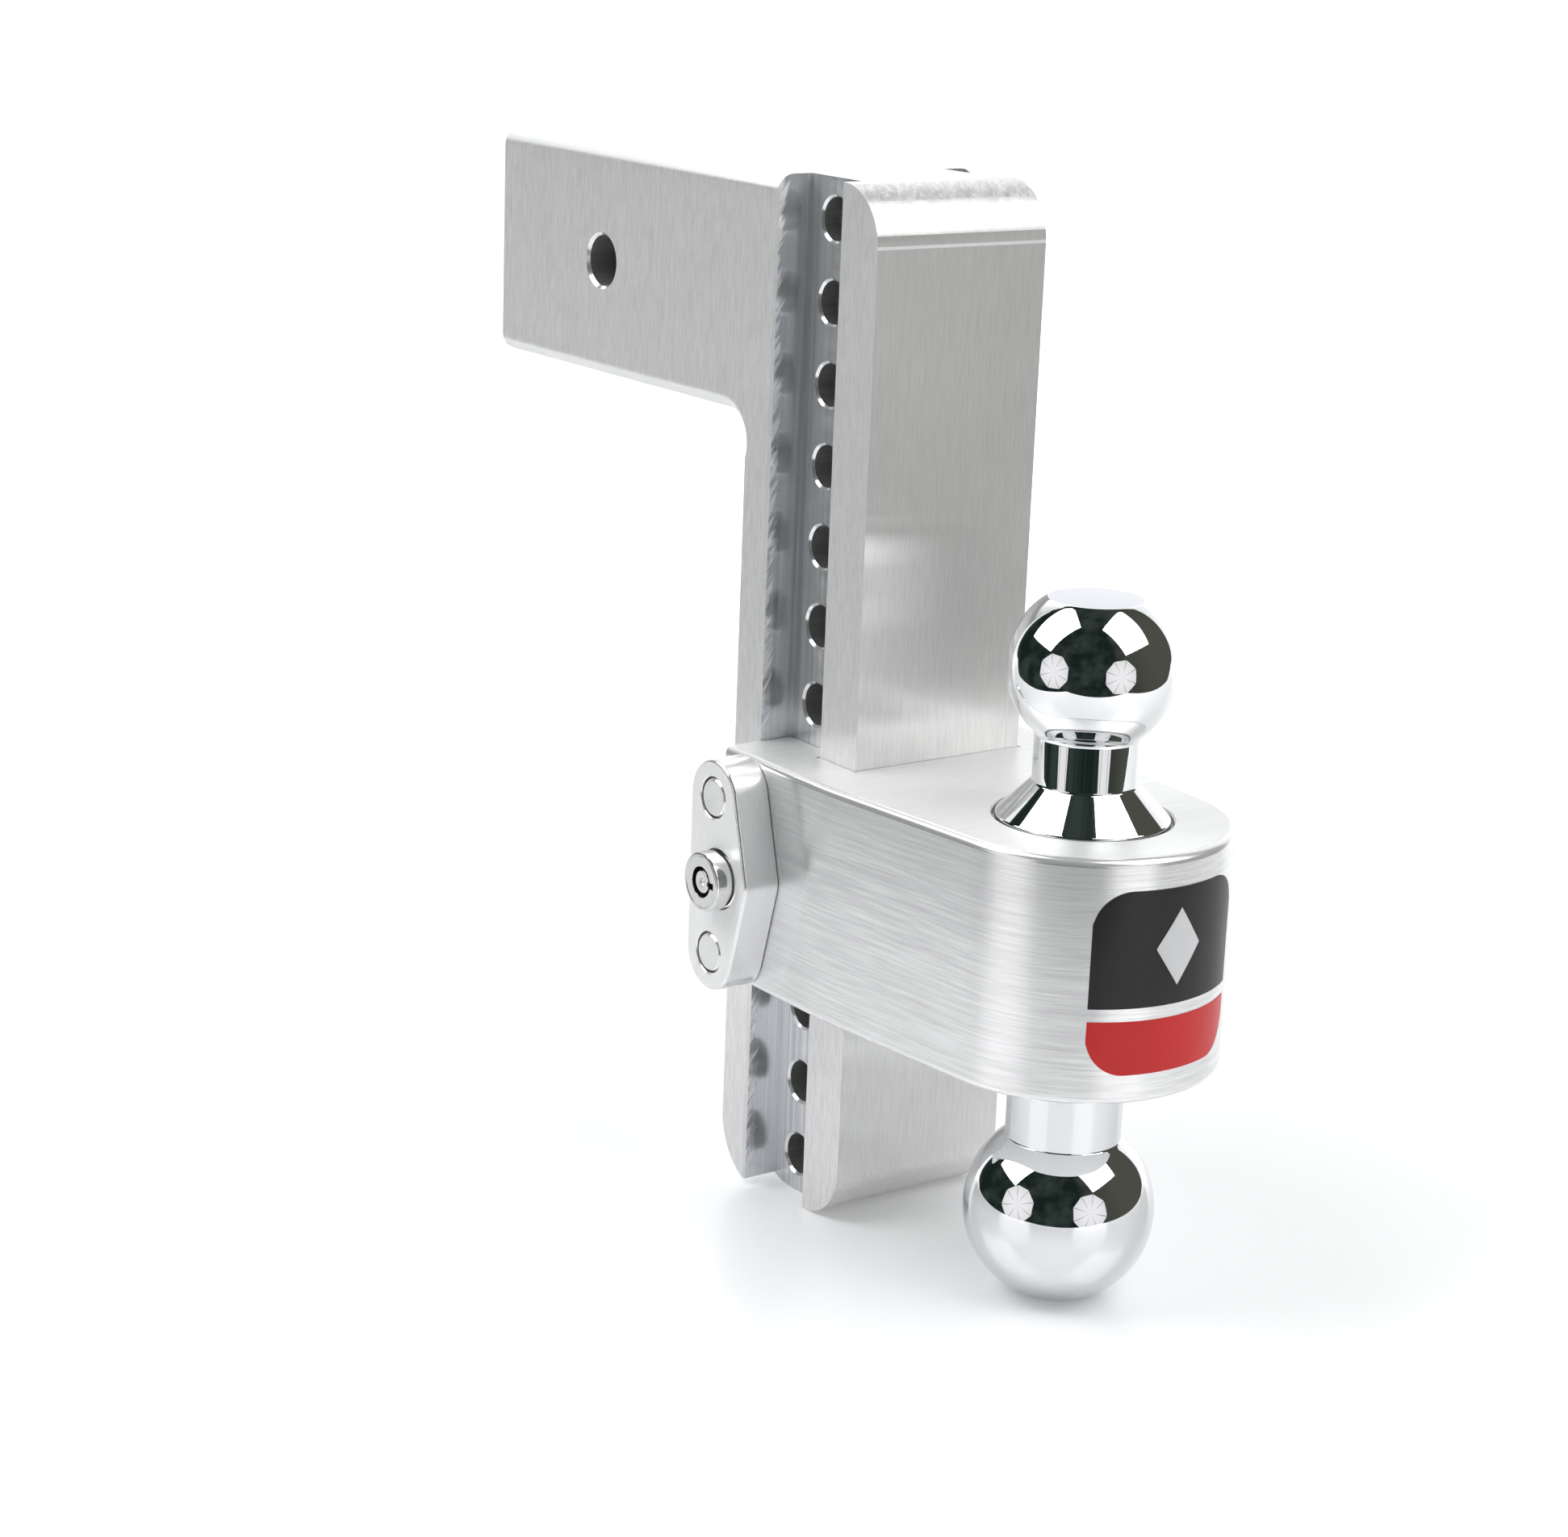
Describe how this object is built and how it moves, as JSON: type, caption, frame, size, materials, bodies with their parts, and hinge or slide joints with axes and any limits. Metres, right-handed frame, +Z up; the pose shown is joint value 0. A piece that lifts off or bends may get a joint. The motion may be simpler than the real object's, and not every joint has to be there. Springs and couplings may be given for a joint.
{
  "type": "adjustable drop hitch with two balls",
  "caption": "Aluminium receiver hitch: square shank, slotted drop rail, height-adjustable pinned mount with a ball above and a ball below, and a keyed lock plate.",
  "frame": {"origin": "centre of the flat end face of the shank, the end that goes into the receiver", "axes": "+X along the shank towards the balls, +Z up, -Y the side that carries the lock plate"},
  "size_m": [0.323, 0.1209, 0.3302],
  "materials": {
    "brushed_aluminium": "brushed, satin",
    "chrome": "polished chrome plate",
    "steel": "machined steel",
    "brass": "machined brass",
    "label_black": "glossy label film",
    "label_red": "glossy label film",
    "label_silver": "silver label film"
  },
  "bodies": {
    "hitch": {"drawbar": "brushed_aluminium", "ball_mount": "brushed_aluminium", "upper_ball": "chrome", "lower_ball": "chrome", "ball_stud": "steel", "label_field": "label_black", "label_band": "label_red", "label_mark": "label_silver"},
    "lock_pins": {"pin_plate": "brushed_aluminium", "upper_lock_pin": "steel", "lower_lock_pin": "steel", "lock_shell": "chrome", "lock_sleeve": "brass", "lock_nut": "steel", "driver_pin_1": "steel", "driver_pin_2": "steel", "driver_pin_3": "steel", "driver_pin_4": "steel", "driver_pin_5": "steel", "driver_pin_6": "steel", "driver_pin_7": "steel", "tumbler_spring_1": "steel", "tumbler_spring_2": "steel", "tumbler_spring_3": "steel", "tumbler_spring_4": "steel", "tumbler_spring_5": "steel", "tumbler_spring_6": "steel", "tumbler_spring_7": "steel"},
    "lock_core": {"lock_rotor": "steel", "lock_cam": "steel", "cam_screw": "steel", "key_pin_1": "brass", "key_pin_2": "brass", "key_pin_3": "brass", "key_pin_4": "brass", "key_pin_5": "brass", "key_pin_6": "brass", "key_pin_7": "brass"}
  },
  "joints": [
    {"name": "pin_slide", "type": "slide", "parent": "hitch", "child": "lock_pins", "axis": [0, -1, 0], "range_m": [0, 0.102]},
    {"name": "key_turn", "type": "hinge", "parent": "lock_pins", "child": "lock_core", "pos_m": [0.1794, -0.0701, -0.1778], "axis": [0, 1, 0], "range_deg": [0, 90]}
  ]
}
